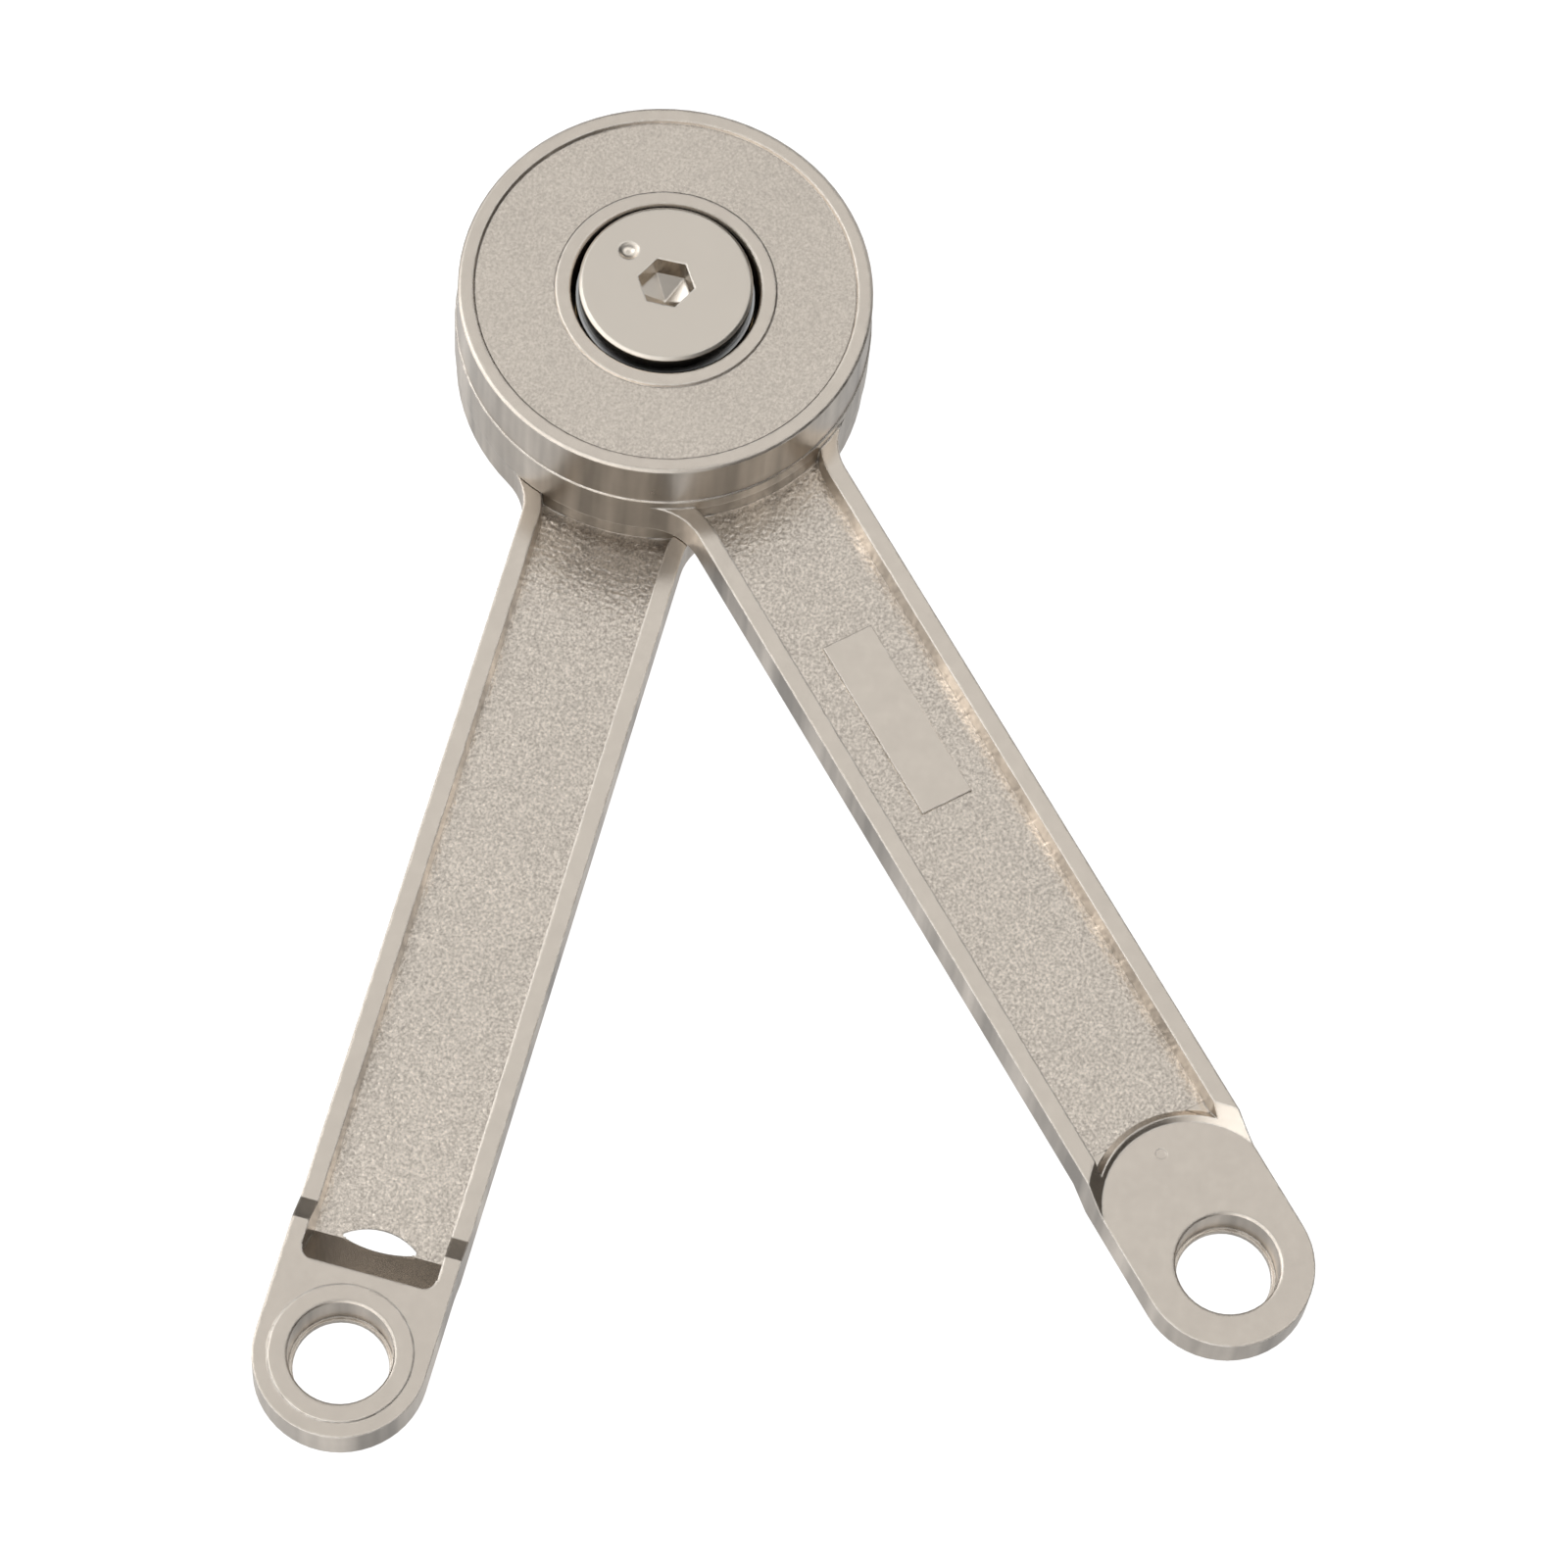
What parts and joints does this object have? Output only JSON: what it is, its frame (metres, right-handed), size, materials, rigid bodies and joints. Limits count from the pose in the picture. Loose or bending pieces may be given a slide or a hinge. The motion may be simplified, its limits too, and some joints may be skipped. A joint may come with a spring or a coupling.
{
  "type": "friction stay hinge",
  "caption": "Two die-cast channel arms with eyed ends on one head pivot, held at any angle by a friction pack with a hex-socket adjuster disc.",
  "frame": {"origin": "on the pivot axis, in the flat underside plane that the hinge lies on", "axes": "+X along the lower arm from the pivot to its eye, +Z along the pivot axis towards the adjuster, +Y across the lower arm on the side to which the upper arm opens"},
  "size_m": [0.1431, 0.1083, 0.0176],
  "materials": {
    "nickel_casting": "satin bright nickel plate on a die casting, sand-grained in the sunken areas",
    "nickel_turned": "smooth satin nickel plate on turned steel",
    "steel": "plain ground steel, lightly oiled",
    "spring_steel": "dark oil-hardened spring steel",
    "bronze": "machined bearing bronze",
    "lining": "matt woven-fibre friction material",
    "nylon": "semi-matt nylon"
  },
  "bodies": {
    "lower_arm_body": {"lower_arm": "nickel_casting", "pivot_shaft": "steel", "base_cap": "nickel_turned", "stop_pin": "steel", "keyed_plate_1": "steel", "keyed_plate_2": "steel", "disc_spring_1": "spring_steel", "disc_spring_2": "spring_steel", "disc_spring_3": "spring_steel", "disc_spring_4": "spring_steel"},
    "upper_arm_body": {"upper_arm": "nickel_casting", "pivot_bush": "bronze", "thrust_washer": "bronze", "tabbed_plate_1": "steel", "tabbed_plate_2": "steel", "friction_lining_1": "lining", "friction_lining_2": "lining", "friction_lining_3": "lining", "friction_lining_4": "lining", "friction_lining_5": "lining"},
    "spring_seat_body": {"spring_seat": "steel"},
    "adjuster_body": {"adjuster_disc": "nickel_turned", "lock_pellet": "nylon"}
  },
  "joints": [
    {"name": "arm_fold", "type": "hinge", "parent": "lower_arm_body", "child": "upper_arm_body", "pos_m": [0, 0, 0.0047], "axis": [0, 0, 1], "range_deg": [-31.9, 130]},
    {"name": "seat_slide", "type": "slide", "parent": "lower_arm_body", "child": "spring_seat_body", "axis": [0, 0, 1], "range_m": [-0.0005, 0.0005], "deforming": ["disc_spring_1", "disc_spring_2", "disc_spring_3", "disc_spring_4"]},
    {"name": "adjuster_turn", "type": "hinge", "parent": "spring_seat_body", "child": "adjuster_body", "pos_m": [0, 0, 0.015], "axis": [0, 0, 1], "range_deg": [-144.5, 144.5]}
  ],
  "couplings": [
    {"joint": "adjuster_turn", "follows": "seat_slide", "rad_per_m": 5026.5}
  ]
}
